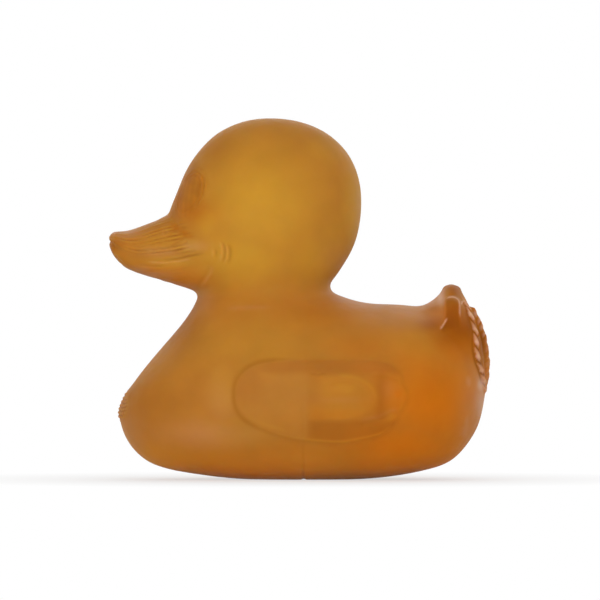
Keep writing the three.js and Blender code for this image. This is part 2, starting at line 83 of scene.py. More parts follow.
# Bill, in the side view from its tip to the face
MOUTH_LINE = [
    (-53.2, 66.6), (-50.1, 64.1), (-47.3, 62.4), (-43.5, 61.2), (-37.9, 61.3), (-34.2, 61.7),
    (-30.2, 62.5), (-26.3, 63),
]
BILL_TOP = [
    (-53.3, 68.6), (-51.8, 69.2), (-48.4, 69.5), (-45.1, 70.4), (-41.7, 71.9), (-38.4, 73.4),
    (-33, 75.5),
]
STREAKS_AT_TIP = (39, 58)  # rates of their two waves, from the mouth line to the bill's top
STREAKS_AT_FACE = (61, 88)
BILL_ROOT_LINE = [(-36.4, 73.5), (-35, 71), (-32.6, 69), (-30.2, 67.9), (-28.6, 67.2)]
LIP_LINE = [(-42.4, 60.8), (-38.7, 60.6), (-33.8, 61), (-30.1, 61.7)]
UNDER_LIP_LINE = [(-45, 60.1), (-40.5, 59.6), (-37.7, 59.7)]
MOUTH_CORNER_LINES = [
    [(-41.5, 63.5), (-36.9, 64.6), (-34.4, 65.9), (-32.1, 67.2)],
    [(-33.2, 63.2), (-30.5, 63.6), (-28.5, 63.8)],
    [(-33.2, 65.3), (-31.9, 65.9), (-30.9, 66.6)],
]
NOSTRIL = (-37.4, 68.9)
NOSTRIL_RING = 0.8  # radius of the ring round it
NECK_LINE = [(-21.4, 47.7), (-14, 48.1), (-7, 48.1)]
JAW_CREASE = [(-24.1, 60), (-24.6, 57.9), (-25.8, 55.9), (-27.3, 53.6)]
CHEEK_CREASES = [
    [(-23.5, 64.7), (-23.1, 63.4), (-23.3, 61.8)],
    [(-21.6, 66.5), (-20.7, 64.8), (-20.7, 62.4), (-21.4, 60.5)],
    [(-19.8, 65.9), (-19.1, 63.9), (-19.3, 61.7), (-20.2, 60)],
]
FOLD_STEP = (0.9, 0)  # from the light ridge of a skin fold to its crease

# Eyes
EYE_TURN = 33  # degrees from straight ahead
EYE_RISE = 80.1  # height of their middles
HEAD_MIDDLE = -10.2  # along X
EYE_RADIUS = 7.3
EYE_RINGS = [  # how far inside the eye's edge, the width and the height of each
    (0, 0.5, 0.16), (0.8, 0.34, -0.26), (1.4, 0.34, 0.13), (2, 0.32, -0.22),
]
EYE_TICKS = [[(-27.6, 79.3), (-27.9, 78.2), (-28.4, 76.9)], [(-28.9, 77), (-29.5, 76.4), (-30.2, 76)]]
EYE_STROKES = [
    [(-26.5, 83.8), (-26.7, 82.2), (-27.2, 80.8)], [(-25.8, 83), (-26, 81.6), (-26.5, 80.2)],
    [(-27.7, 86.4), (-27.2, 84.9), (-27.1, 83.6)],
]

# Tail, in the side view where two numbers are given
MIDDLE_RIB = [
    (48.8, 0, 48.3), (50.4, 0, 42), (51.5, 0, 35.5), (51.7, 0, 32.1), (51.5, 0, 28.8), (50.7, 0, 25.4),
    (49.4, 0, 22.1),
]
SIDE_RIB = [
    (46, 49.5), (47.7, 45.8), (48.9, 42.1), (49.1, 38.8), (49.3, 35.8), (49.7, 32.7), (50.6, 29.7),
    (51, 27.3), (51.2, 25),
]
RIB_REACH = 1.9  # how far from its line the middle rib's barbs show
BARB_PITCH = 2
BARB_RELIEF = 0.22
SIDE_RIB_REACH = 1.4
SIDE_RIB_RELIEF = 1
STRAND_PITCH = 3.8
LEAF_SHAPE = [
    (40.4, 49.4), (40.6, 50.4), (41.6, 51), (43.1, 51.1), (44.2, 50.5), (44.7, 49.4), (44.8, 46),
    (45.2, 41.5), (43.3, 39.7), (40.3, 40.3), (39, 42), (40.1, 44.3), (40.4, 47),
]
LEAF_RELIEF = 0.5
LEAF_FOOT = [(41, 45), (40.2, 43.6), (39.2, 42.1)]
RIB_HEAD = [(45.1, 48.9), (45.5, 49.7), (46.3, 49.8), (47.1, 49)]
# The tail's second tip, the dip in front of it and both shoulders of its first tip: place, reach and push
NUDGES = [
    ((48.9, 0, 47.6), 1.1, (0, 0, 1)),
    ((47.5, 0, 48.6), 1, (-0.35, 0, -0.1)),
    ((41, 0, 53.6), 1.3, (-0.4, 0, 0.1)),
    ((44.6, 0, 53.7), 1.3, (0.35, 0, 0.1)),
]

FLUTES = [  # soft upright folds between the tail and the rear end
    [(46.7, 30), (47.1, 27.3), (47.2, 24.6)], [(50.8, 25.6), (51.5, 22.4), (51.2, 18.9)],
    [(46.7, 19.2), (46.4, 15), (45.4, 11)],
]

# Chest tuft
TUFT_MIDDLE = 20.4
TUFT_HALVES = (12.5, 4.6)
TUFT_PITCH = (1.5, 1.1)  # across and down
TUFT_RELIEF = 0.3
TUFT_FOOT = 17.1  # height of the small step under it

# Mould seam
SEAM_PLACE = 1.2
SEAM_TOP = 30


def ramp(low, high, value):
    """0 below low, 1 above high, and an S curve between them."""
    share = np.clip((value - low) / (high - low), 0, 1)
    return share * share * (3 - 2 * share)


def bell(gap, width):
    """1 where the gap is nothing, falling away over the width."""
    return np.exp(-((gap / width) ** 2))


def curve_through(points, closed=False, steps=6):
    """A smooth line of short straight runs through a few points."""
    knots = [np.array(p, float) for p in points]
    before, after = (knots[-1:], knots[:2]) if closed else (knots[:1], knots[-1:])
    knots = before + knots + after
    line = []
    for a, b, c, d in zip(knots, knots[1:], knots[2:], knots[3:]):
        for step in range(steps):
            t = step / steps
            line.append(0.5 * (2 * b + (c - a) * t + (2 * a - 5 * b + 4 * c - d) * t**2
                               + (3 * b - a - 3 * c + d) * t**3))
    line.append(knots[1] if closed else knots[-1])
    return line


def gap_to(places, line, reach=6):
    """How far each place is from a line, how far along it the nearest point is, and the line's length.
    What lies further off than the reach is only known to be far."""
    gap = np.full(len(places), np.inf)
    along = np.zeros(len(places))
    low, high = np.min(line, axis=0) - reach, np.max(line, axis=0) + reach
    near = np.flatnonzero(np.all((places > low) & (places < high), axis=1))
    close, nearest_gap, nearest_along = places[near], gap[near], along[near]
    walked = 0.0
    for a, b in zip(line, line[1:]):
        run = b - a
        length = np.linalg.norm(run)
        share = np.clip((close - a) @ run / length**2, 0, 1)
        distance = np.linalg.norm(close - a - share[:, None] * run, axis=1)
        closer = distance < nearest_gap
        nearest_gap[closer] = distance[closer]
        nearest_along[closer] = walked + share[closer] * length
        walked += length
    gap[near], along[near] = nearest_gap, nearest_along
    return gap, along, walked


def depth_inside(places, outline):
    """How deep each place lies inside a closed outline, and less than nothing outside it."""
    odd = np.zeros(len(places), bool)
    for a, b in zip(outline, outline[1:]):
        if a[1] == b[1]:
            continue
        crosses = (a[1] > places[:, 1]) != (b[1] > places[:, 1])
        meeting = a[0] + (places[:, 1] - a[1]) / (b[1] - a[1]) * (b[0] - a[0])
        odd ^= crosses & (places[:, 0] < meeting)
    gap = gap_to(places, outline)[0]
    return np.where(odd, gap, -gap)


def groove(places, points, width, taper=1.5):
    """1 along a line through the points, falling away to its sides and ends."""
    gap, along, length = gap_to(places, curve_through(points))
    return bell(gap, width) * ramp(-0.3, taper, np.minimum(along, length - along))


def grooves(places, lines, width, taper=1.5):
    """The same along several lines."""
    return sum(groove(places, line, width, taper) for line in lines)


def ripple(places, pitch, seed):
    """A gentle unevenness between -1 and 1, made of a few waves in fixed directions."""
    waves = np.random.default_rng(seed)
    total = np.zeros(len(places))
    for _ in range(6):
        direction = waves.normal(size=places.shape[1])
        direction *= waves.uniform(0.7, 1.4) / np.linalg.norm(direction)
        total += np.sin(2 * math.pi * (places @ direction) / pitch + waves.uniform(0, 2 * math.pi))
    return total / 6


def side_view(places):
    return places[:, [0, 2]]


def on_side(places):
    """1 on the two sides of the duck and 0 near its middle plane."""
    return ramp(3, 7, np.abs(places[:, 1]))


# The skin's mesh

def merged_copy(node, name):
    """A copy of a frame mesh as a new object, with its loose triangles joined into one closed skin."""
    work = bmesh.new()
    work.from_mesh(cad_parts[node].data)
    bmesh.ops.remove_doubles(work, verts=work.verts, dist=0.001 * MM)
    mesh = bpy.data.meshes.new(name)
    work.to_mesh(mesh)
    work.free()
    copy = bpy.data.objects.new(name, mesh)
    bpy.context.scene.collection.objects.link(copy)
    return copy


def settle(piece):
    """Makes the piece's modifiers part of its mesh."""
    shaped = bpy.data.meshes.new_from_object(piece.evaluated_get(bpy.context.evaluated_depsgraph_get()))
    piece.modifiers.clear()
    piece.data = shaped


def read_places(mesh):
    places = np.empty(len(mesh.vertices) * 3)
    mesh.vertices.foreach_get("co", places)
    return places.reshape(-1, 3) / MM


def write_places(mesh, places):
    mesh.vertices.foreach_set("co", (places * MM).ravel())
    mesh.update()


def read_normals(mesh):
    normals = np.empty(len(mesh.vertices) * 3, np.float32)
    mesh.vertex_normals.foreach_get("vector", normals)
    return normals.reshape(-1, 3).astype(float)


def skin_ease(places):
    """How strongly each place is eased: plain skin fully, and the bill, the tail and the nape little."""
    x, z = places[:, 0], places[:, 2]
    wide = np.abs(places[:, 1])
    bill = ramp(-24, -31, x) * ramp(48, 52, z) * ramp(1.5, -0.5, z - 73.5 + 0.8 * (x + 36.4))
    beside_rib = np.maximum(ramp(3.5, 5, wide) * ramp(47.5, 45, z), ramp(8, 9.5, wide))
    tail = ramp(37, 42, x) * ramp(18, 24, z) * (1 - beside_rib)
    ease = np.ones(len(places))
    for corner_x, corner_z in (NAPE, THROAT, BROW):
        to_corner = np.hypot(x - corner_x, z - corner_z)
        ease += (CORNER_EASE - ease) * bell(to_corner, CORNER_REACH) * ramp(9, 5, wide)
    ease += (BILL_EASE - ease) * bill
    ease += (1 - ease) * bill * bell(gap_to_mouth(places), 2.4) * ramp(-50, -45, x)
    return ease + (TAIL_EASE - ease) * tail


def set_ease(piece):
    """Keeps the ease of each vertex in a vertex group."""
    piece.vertex_groups.new(name="ease")
    work = bmesh.new()
    work.from_mesh(piece.data)
    weights = work.verts.layers.deform.verify()
    for vertex, ease in zip(work.verts, skin_ease(read_places(piece.data))):
        vertex[weights][0] = ease
    work.to_mesh(piece.data)
    work.free()


def eased(piece, values):
    """Values at the vertices after many rounds of moving towards the mean of their neighbours."""
    write_places(piece.data, values)
    ease = piece.modifiers.new("ease", "SMOOTH")
    ease.factor = EASE_FACTOR
    ease.iterations = EASE_ROUNDS
    ease.vertex_group = "ease"
    settle(piece)
    return read_places(piece.data)


def smooth_skin(piece):
    """Takes off the wings' hard pads, which come back soft with the relief, and rounds off the facets.
    The second easing gives back what the first took off the rounded forms."""
    places = read_places(piece.data)
    places -= wing_pad(places)[:, None] * read_normals(piece.data)
    set_ease(piece)
    soft = eased(piece, places)
    soft += eased(piece, places - soft)
    write_places(piece.data, soft)
    piece.vertex_groups.clear()


# Relief, as millimetres along the way out of the skin

def on_wing_side(places):
    """1 as far from the middle plane as the wings are, and 0 nearer to it."""
    return ramp(12, 20, np.abs(places[:, 1]))


def wing_depth(places):
    """How deep each place lies inside the wing's outline, in the side view."""
    middle = np.array(WING_MIDDLE)
    size = np.array([WING_LENGTH, WING_HEIGHT])
    outline = curve_through([middle + np.array(p) * size for p in WING_SHAPE], closed=True)
    return depth_inside(side_view(places), outline)


def wing_pad(places):
    """The raised pad of the wing, with a soft edge. It is lower in front and along its foot."""
    to_rear = (1 - WING_FRONT_SHARE) * ramp(-19, -3, places[:, 0]) * ramp(12, 24, places[:, 2])
    soft_edge = ramp(-1.3, 1.5, wing_depth(places))
    return WING_RELIEF * (WING_FRONT_SHARE + to_rear) * soft_edge * on_wing_side(places)


def covert_depth(places):
    """How deep each place lies inside the covert, which is round at its rear end only."""
    off = (side_view(places) - COVERT_MIDDLE) / COVERT_HALVES
    off[:, 0] = np.maximum(off[:, 0], 0)
    return (1 - np.linalg.norm(off, axis=1)) * min(COVERT_HALVES)


def wing_relief(places):
    """The pad and its rim, the covert, and the grooves between the feathers."""
    flat = side_view(places)
    x, z = flat[:, 0], flat[:, 1]
    rim = 0.08 * bell(wing_depth(places) - 0.5, 0.6) * ramp(-18, -6, x)
    in_covert = covert_depth(places)
    covert = COVERT_RELIEF * ramp(-1.2, 1.4, in_covert) * ramp(2, 9, x)
    covert_rim = 0.1 * bell(in_covert - 0.5, 0.6) * ramp(8, 13, x) * ramp(17, 23, z)
    inner = 0.18 * ramp(-0.8, 0.9, in_covert - 2.4) * ramp(5, 10, x) * ramp(21, 24, z)
    lines = 0.2 * grooves(flat, [UPPER_FEATHER_GROOVE, LOWER_FEATHER_GROOVE], 0.8)
    nick = 0.2 * groove(flat, COVERT_NICK, 0.5, 0.6)
    return wing_pad(places) + on_wing_side(places) * (rim + covert + covert_rim + inner - lines - nick)


def gap_to_mouth(places):
    return gap_to(side_view(places), curve_through(MOUTH_LINE))[0]


def gap_to_nostril(places):
    return np.hypot(places[:, 0] - NOSTRIL[0], places[:, 2] - NOSTRIL[1])


def bill_share(places):
    """1 on the bill and 0 off it."""
    x, z = places[:, 0], places[:, 2]
    return ramp(-28, -33, x) * ramp(50, 54, z) * ramp(74.5, 73, z + 0.5 * (x + 37))


def bill_streaks(places):
    """Fine lines from the face to the bill's tip, fewer near the tip, as a height from about -1 to 1."""
    flat = side_view(places)
    x, z = flat[:, 0], flat[:, 1]
    mouth = curve_through(MOUTH_LINE)
    mouth_rise = np.interp(x, [p[0] for p in mouth], [p[1] for p in mouth])
    top_rise = np.interp(x, [p[0] for p in BILL_TOP], [p[1] for p in BILL_TOP])
    height = (z - mouth_rise) / (top_rise - mouth_rise)
    wander = ripple(flat, 14, 3)
    slow, fast = STREAKS_AT_TIP
    few = np.sin(height * slow + wander) + 0.8 * np.sin(height * fast + wander * 1.6 + 1.3)
    slow, fast = STREAKS_AT_FACE
    many = np.sin(height * slow + wander * 1.6) + 0.9 * np.sin(height * fast + wander * 2.4 + 0.7)
    fine = few + (many - few) * ramp(-48, -41, x)
    upper = ramp(0.03, 0.2, height) * ramp(1, 0.75, height)
    lower = 0.3 * ramp(-0.1, -0.3, height) * ramp(-0.9, -0.5, height)
    return 0.6 * fine * (upper + lower) * bill_share(places) * (0.7 + 0.6 * ripple(flat, 5, 8))


def bill_relief(places):
    """Streaks, the mouth line with its lips, the lines at its corner, the bill's root and the nostril."""
    flat = side_view(places)
    x = flat[:, 0]
    lips = -0.26 * bell(gap_to_mouth(places), 0.4) * ramp(-25.5, -29, x)
    lips *= np.maximum(ramp(-42, -37, x), 0.9 * ramp(-51, -52.5, x))
    lip_ridge = 0.2 * groove(flat, LIP_LINE, 0.4) - 0.16 * groove(flat, UNDER_LIP_LINE, 0.4)
    corner = -0.16 * grooves(flat, MOUTH_CORNER_LINES, 0.3, 0.8)
    root = -0.24 * groove(flat, BILL_ROOT_LINE, 1, 3)
    to_nostril = gap_to_nostril(places)
    nostril = 0.12 * bell(to_nostril - NOSTRIL_RING, 0.35) - 0.2 * bell(to_nostril, 0.45)
    return 0.2 * bill_streaks(places) + lips + on_side(places) * (lip_ridge + corner + root + nostril)


def fullness(places):
    """Brings the smoothed skin to the outline of the real one."""
    x, z = places[:, 0], places[:, 2]
    return sum(gain * bell(np.hypot(x - at_x, z - at_z), reach) for at_x, at_z, reach, gain in FULLNESS)


def cheek_folds(places):
    """The creases of the cheek, and the light ridge in front of each."""
    flat = side_view(places)
    return grooves(flat, CHEEK_CREASES, 0.45), grooves(flat + FOLD_STEP, CHEEK_CREASES, 0.45)


def cheek_relief(places):
    """The folds of cheek and jaw, and the soft line round the foot of the neck."""
    flat = side_view(places)
    creases, ridges = cheek_folds(places)
    jaw = 0.16 * groove(flat, JAW_CREASE, 0.6) - 0.2 * groove(flat + FOLD_STEP, JAW_CREASE, 0.7)
    neck = 0.12 * groove(flat, NECK_LINE, 0.7, 4)
    return ramp(6, 10, np.abs(places[:, 1])) * (0.18 * ridges + neck + jaw - 0.24 * creases)


def skin_tree(mesh):
    work = bmesh.new()
    work.from_mesh(mesh)
    skin = BVHTree.FromBMesh(work)
    work.free()
    return skin


def eye_seats(skin):
    """The middle of each eye on the skin, with the way out of it."""
    seats = []
    for side in (-1, 1):
        turn = math.radians(EYE_TURN)
        heading = Vector((-math.cos(turn), side * math.sin(turn), 0))
        place, normal, _, _ = skin.ray_cast(Vector((HEAD_MIDDLE, 0, EYE_RISE)) * MM, heading)
        seats.append((np.array(place) / MM, np.array(normal)))
    return seats


def side_ribs(skin):
    """The lines of the two side ribs, laid on the skin from their places in the side view."""
    ribs = []
    for side in (-1, 1):
        line = []
        for x, z in curve_through(SIDE_RIB):
            place, _, _, _ = skin.ray_cast(Vector((x, side * 60, z)) * MM, Vector((0, -side, 0)))
            line.append(np.array(place) / MM)
        ribs.append(line)
    return ribs


def round_eye(places, seat):
    """How far each place is from the eye's axis, and 1 on the face round the eye but 0 further back."""
    middle, out = seat
    off = places - middle
    rise = off @ out
    return np.linalg.norm(off - rise[:, None] * out, axis=1), ramp(-8, -5, rise)


def eye_relief(places, seats):
    """Fine rings round a shallow dome, weaker in front and broken here and there as hand-cut lines are."""
    relief = np.zeros(len(places))
    for seat in seats:
        radius, on_face = round_eye(places, seat)
        off = places - seat[0]
        broken = 0.6 + 0.5 * ripple(off, 5, 21)
        behind = ramp(-1, 3, off[:, 0] - 0.2 * off[:, 2])
        near = ramp(11, 9, radius) * on_face * (0.4 + 0.6 * behind)
        rings = sum(height * bell(radius - EYE_RADIUS + inset, width) for inset, width, height in EYE_RINGS)
        relief += near * rings * broken
    flat = side_view(places)
    ticks = grooves(flat, EYE_TICKS, 0.35, 0.6)
    strokes = grooves(flat, EYE_STROKES, 0.3, 0.6)
    return relief + on_side(places) * (0.18 * strokes - 0.26 * ticks)


def strands(phase):
    """Slanting strands, each rising slowly from 0 to 1 and ending in a sharp drop."""
    share = phase - np.floor(phase)
    return np.minimum(share / 0.75, (1 - share) / 0.25)


def middle_barbs(places):
    """Where the middle rib's barbs cover the skin, and how each rises."""
    line = curve_through(MIDDLE_RIB)
    gap, along, length = gap_to(places, line)
    ends = ramp(-0.2, 2, np.minimum(along, length - along))
    lay = strands((along + 1.1 * places[:, 1]) / BARB_PITCH + 0.1 * ripple(places, 7, 41))
    return ramp(RIB_REACH, RIB_REACH - 0.7, gap) * ends, lay


def side_barbs(places, rib):
    """Where a side rib's rope covers the skin, how its strands rise, and the way across it to the rear."""
    gap, along, length = gap_to(places, rib)
    line = np.array(rib)[::-1]
    wide = np.abs(places[:, 1])
    across = places[:, 0] - np.interp(places[:, 2], line[:, 2], line[:, 0])
    across -= wide - np.interp(places[:, 2], line[:, 2], np.abs(line[:, 1]))
    ends = ramp(-0.4, 0.6, np.minimum(along, length - along))
    lay = strands((along - 0.65 * across) / STRAND_PITCH + 0.12 * ripple(places, 6, 43))
    return np.sqrt(np.clip(1 - (gap / SIDE_RIB_REACH) ** 2, 0, 1)) * ends, lay, across


def leaf_depth(places):
    """How deep each place lies inside the side feather's outline, and -9 near the middle plane."""
    depth = depth_inside(side_view(places), curve_through(LEAF_SHAPE, closed=True))
    return np.where(np.abs(places[:, 1]) > 5, depth, -9)


def tail_relief(places, ribs):
    """Barbs on the middle rib, ropes on the side ribs, the pads of the side feathers, and the flutes."""
    cover, lay = middle_barbs(places)
    relief = BARB_RELIEF * cover * (lay - 0.45)
    for rib in ribs:
        cover, lay, _ = side_barbs(places, rib)
        relief += SIDE_RIB_RELIEF * cover * (0.3 + 0.7 * lay)
    flat = side_view(places)
    flutes = 0.15 * grooves(flat, FLUTES, 1, 2.5)
    leaf = LEAF_RELIEF * ramp(-0.35, 0.35, leaf_depth(places)) * ramp(42, 48, places[:, 2])
    lines = 0.25 * grooves(flat, [LEAF_FOOT, RIB_HEAD], 0.35, 0.5)
    return relief + leaf + on_side(places) * (lines + flutes)


def nudged(places):
    """Pushes small spots of the skin, as a modelling tool does."""
    moved = places.copy()
    for spot, reach, push in NUDGES:
        moved += bell(np.linalg.norm(places - spot, axis=1), reach)[:, None] * np.array(push)
    return moved


def tuft_share(places):
    """1 on the chest tuft and 0 off it."""
    off = np.hypot(places[:, 1] / TUFT_HALVES[0], (places[:, 2] - TUFT_MIDDLE) / TUFT_HALVES[1])
    return ramp(1.05, 0.75, off) * (places[:, 0] < 0)


def tuft_feathers(places):
    """Small overlapping feathers, not quite in rows, as a height from 0 to 1."""
    down = (TUFT_MIDDLE - places[:, 2]) / TUFT_PITCH[1] + 0.35 * ripple(places, 7, 51)
    row = np.floor(down)
    across = places[:, 1] / TUFT_PITCH[0] + 0.5 * (row % 2) + 0.3 * ripple(places, 6, 52)
    feather = 0.5 + 0.5 * np.cos(2 * math.pi * across)
    drop = down - row
    return ramp(0, 0.75, drop) * ramp(1, 0.8, drop) * (0.35 + 0.65 * feather)


def tuft_relief(places):
    """The small feathers, and the shallow step under them."""
    z = places[:, 2]
    foot = 0.3 * ramp(TUFT_FOOT - 0.4, TUFT_FOOT + 0.3, z) * ramp(TUFT_FOOT + 6, TUFT_FOOT + 1, z)
    across = ramp(1, 0.4, np.abs(places[:, 1]) / TUFT_HALVES[0]) * (places[:, 0] < 0)
    return TUFT_RELIEF * tuft_share(places) * (tuft_feathers(places) - 0.3) + foot * across


def seam_relief(places):
    """The faint line where the two halves of the mould met, deepest under the belly."""
    x, z = places[:, 0], places[:, 2]
    fade = ramp(SEAM_TOP, 8, z)
    return -bell(x - SEAM_PLACE, 0.45) * (0.08 + 0.22 * ramp(9, 0, z)) * fade


def add_relief(mesh, seats, ribs):
    places = read_places(mesh)
    relief = (
        fullness(places)
        + wing_relief(places)
        + bill_relief(places)
        + cheek_relief(places)
        + eye_relief(places, seats)
        + tail_relief(places, ribs)
        + tuft_relief(places)
        + seam_relief(places)
    )
    places = nudged(places + relief[:, None] * read_normals(mesh))
    places[:, 2] = np.maximum(places[:, 2], 0)
    write_places(mesh, places)


def fewer_faces(piece):
    """Joins faces where the skin is plain, and keeps them small where the relief is fine."""
    places = read_places(piece.data)
    x, z = places[:, 0], places[:, 2]
    bill_and_eyes = ramp(-24, -27, x) * ramp(52, 55, z) * ramp(92, 89, z)
    wings = ramp(-1, 0, wing_depth(places)) * on_side(places)
    tail = ramp(38, 40, x) * ramp(23, 25, z)
    tuft = ramp(-40, -43, x) * ramp(28, 26, z)
    fine = np.maximum.reduce([bill_and_eyes, wings, tail, tuft])
    plain = piece.vertex_groups.new(name="plain")
    steps = 4
    for level in range(steps + 1):
        share = 1 - level / steps
        chosen = np.flatnonzero(np.abs(1 - fine - share) <= 0.5 / steps)
        plain.add(chosen.tolist(), share, "REPLACE")
    piece.data.calc_loop_triangles()
    fewer = piece.modifiers.new("fewer_faces", "DECIMATE")
    fewer.ratio = min(1, MOST_TRIANGLES / len(piece.data.loop_triangles))
    fewer.vertex_group = "plain"
    settle(piece)
    piece.vertex_groups.clear()


# Tones of painted light and shade, and of a deeper orange, as shares from 0 to 1 at the vertices

def spots(places, marks):
    """The strongest of several soft oval marks, each as (x, z, half length, half height, strength)."""
    flat = side_view(places)
    tone = np.zeros(len(places))
    for x, z, length, height, strength in marks:
        off = np.hypot((flat[:, 0] - x) / length, (flat[:, 1] - z) / height)
        tone = np.maximum(tone, strength * bell(off, 1))
    return tone


# Soft marks of painted light and shade all over the duck, as (x, z, half length, half height, strength)
SKIN_MARKS = {
    # painted glow where light would shine through thin rubber, on head, neck and tail, and painted light
    # along the bottom
    "painted_glow": [
        (-11, 76, 17, 17, 0.95), (-16, 62, 14, 9, 0.95), (2, 62, 10, 9, 0.6), (-36, 61, 9, 2, 0.7),
        (-39, 65, 8, 4, 0.45), (-12, 38, 20, 9, 0.3), (-16, 13, 12, 6, 0.35), (17, 76, 5, 14, 0.8),
        (9, 67, 7, 9, 0.4), (-25, 0, 34, 7, 0.7), (32, 24, 5, 8, 0.25), (-21, 26, 4, 9, 0.35),
        (43, 52, 3.4, 4, 0.9), (2, 2, 26, 6, 0.5), (35, 38, 9, 6, 0.35), (-30, 65, 5, 3, 0.7),
        (-25, 72, 5, 6, 0.7), (6, 92, 9, 5, 0.35),
    ],
    # a deeper orange towards the rear and bottom, with painted shade under the bill and beside the eye
    "amber": [
        (37, 22, 16, 15, 1), (30, 10, 16, 8, 0.9), (6, 48, 12, 6, 0.35), (17, 37, 9, 5, 0.3),
        (-42, 57, 8, 3, 0.25), (44, 40, 8, 10, 1), (-30, 75, 6, 4, 0.4), (-32, 55.5, 7, 3, 0.5),
        (-22, 50, 16, 7, 0.15),
    ],
    # painted shade in hollows: under the tail's side feather and beside its ribs, round the eyes, under the
    # bill and chest, and low at the rear
    "painted_shade": [
        (43.5, 53, 3.5, 4, 0.9), (44.5, 42.5, 7, 6, 0.95), (43, 45.5, 3, 5, 0.95), (47, 43, 2.5, 7, 0.9),
        (50.8, 38, 1.6, 7, 0.9), (38, 47, 3, 2, 0.45), (-32, 86, 4, 8, 0.65), (-34, 80, 3, 7, 0.7),
        (-45, 64, 11, 6, 0.15), (-51.5, 65.5, 3, 2, 0.5), (-24, 53, 5, 6, 0.12), (-25, 93, 6, 6, 0.3),
        (-34, 43, 6, 8, 0.4), (-45, 21, 9, 10, 0.3), (42, 5, 6, 5, 0.3), (37.5, 44, 4.5, 3, 0.8),
        (-30, 75.5, 5, 3.5, 0.3),
    ],
    # painted light along the bottom, in a deep orange
    "painted_deep_glow": [(38, -4, 42, 11, 0.6), (-22, -4, 46, 9.5, 0.85)],
    # painted sheen and painted highlights on the back, the rear, the tail, the bill and the chest
    "painted_sheen": [
        (24, 51, 14, 4, 0.6), (37, 50.5, 2.5, 3, 0.65), (52, 17, 5, 12, 0.9), (30, 46.5, 13, 3.5, 0.5),
        (-52, 28, 4, 7, 0.25), (-49, 69.5, 5, 2, 0.5), (18, 74, 3, 16, 0.45), (39.4, 50.8, 1.3, 2.6, 1),
        (16, 54, 8, 3, 0.4), (-25, 13, 13, 4, 0.3), (-51, 12, 7, 7, 0.3), (-29, 65, 4, 1.5, 0.3),
        (-39, 63.5, 6, 1.6, 0.25), (50.8, 26.4, 1.5, 2.2, 1), (-42, 57.3, 6, 0.9, 0.35),
        (37.5, 48, 3, 2, 0.3), (-44.5, 58.6, 3, 1.2, 0.35), (-27, 50, 3, 4, 0.3), (11, 61, 5, 5, 0.18),
        (-21, 21, 4, 7, 0.2), (-12, 3, 24, 4, 0.08),
    ],
    # painted glints on the tail's rear edge and on the top of its side feather
    "painted_glint": [(50.8, 26.4, 1.3, 2, 0.4), (50.8, 21.5, 1.8, 4, 0.3), (39.2, 50.8, 1, 2, 0.35)],
}
# Soft marks of painted glow, a deeper orange and painted sheen on the wing
WING_MARKS = {
    "painted_glow": [(12, 25.7, 4.6, 2, 0.5), (9, 19.3, 8, 2.2, 0.3), (25, 18.2, 2, 1.8, 0.35)],
    "amber": [(27.4, 24.2, 2.7, 2.7, 0.9), (19, 31, 6, 3, 0.3), (18, 22, 3, 4, 0.3)],
    "painted_sheen": [(24.4, 25.6, 2, 2.4, 0.06), (11.5, 22.6, 6, 0.9, 0.08)],
}


def wing_tones(places):
    """Painted shade in the wing's bands and between its feathers, painted glow and a deeper orange on the
    covert, and painted highlights as paler lines along the edges.
    """
    flat = side_view(places)
    x, z = flat[:, 0], flat[:, 1]
    side = on_wing_side(places)
    depth = wing_depth(places)
    inside = ramp(-0.4, 0.5, depth)
    in_covert = covert_depth(places)
    past_front = ramp(COVERT_FRONT - 1.5, COVERT_FRONT + 2, x)
    past_nick = ramp(COVERT_FRONT, COVERT_FRONT + 6, x)
    covert = ramp(-1.2, 1.6, in_covert) * past_front
    upper_band = inside * ramp(28.5, 31.5, z) * ramp(-20, -6, x)
    lower_band = inside * ramp(18.2, 15.8, z) * past_front
    rear_band = inside * bell(x - 22.6, 1.9) * ramp(15, 18, z)
    front_end = inside * ramp(-6, -14, x) * ramp(19, 25, z)
    front_band = bell(depth - 0.2, 0.7) * ramp(2, -9, x) * (0.25 + 0.75 * ramp(13, 19, z))
    inner_band = bell(depth - 1.8, 1) * ramp(0, -6, x) * ramp(21, 16, z)
    front_half = inside * ramp(3.5, 1, x)
    low_edge = bell(depth - 0.4, 0.5) * ramp(19, 15, z + 0.1 * np.abs(x)) * ramp(-16, -4, x)
    covert_edge = bell(in_covert - 0.3, 0.7) * ramp(8, 13, x) * ramp(20, 25, z)
    # painted glow in a deeper orange on the covert
    covert_glow = covert * np.maximum(0.15 * past_nick, 0.3 * ramp(22, 19, z))
    feather_edge = groove(flat, LOWER_FEATHER_GROOVE + np.array([0, 1.1]), 0.6)
    marks = {tone: spots(places, ovals) for tone, ovals in WING_MARKS.items()}
    # painted highlights along the edges, and painted glow on the covert and inside the front end
    pale = np.maximum.reduce([
        0.25 * covert * past_nick, 0.3 * low_edge, 0.35 * covert_edge, 0.6 * front_band,
        0.15 * front_half, 0.3 * inner_band, marks["painted_glow"],
    ])
    # painted shade in the bands along the wing's edges, at its front end and in the nick
    shade = np.maximum.reduce([
        0.36 * upper_band, 0.34 * lower_band * (1 - low_edge), 0.36 * rear_band, 0.55 * front_band,
        0.24 * front_end, 0.3 * groove(flat, COVERT_NICK, 0.5, 0.6),
    ])
    # painted sheen
    wing_sheen = np.maximum.reduce([marks["painted_sheen"], 0.08 * feather_edge, 0.05 * front_half, 0.03 * upper_band])
    return {
        "painted_glow": side * pale,
        "amber": side * np.maximum(covert_glow, marks["amber"]),
        "painted_shade": side * (1 - 0.9 * covert) * (1 - 0.8 * marks["amber"]) * shade,
        "painted_sheen": side * wing_sheen,
    }


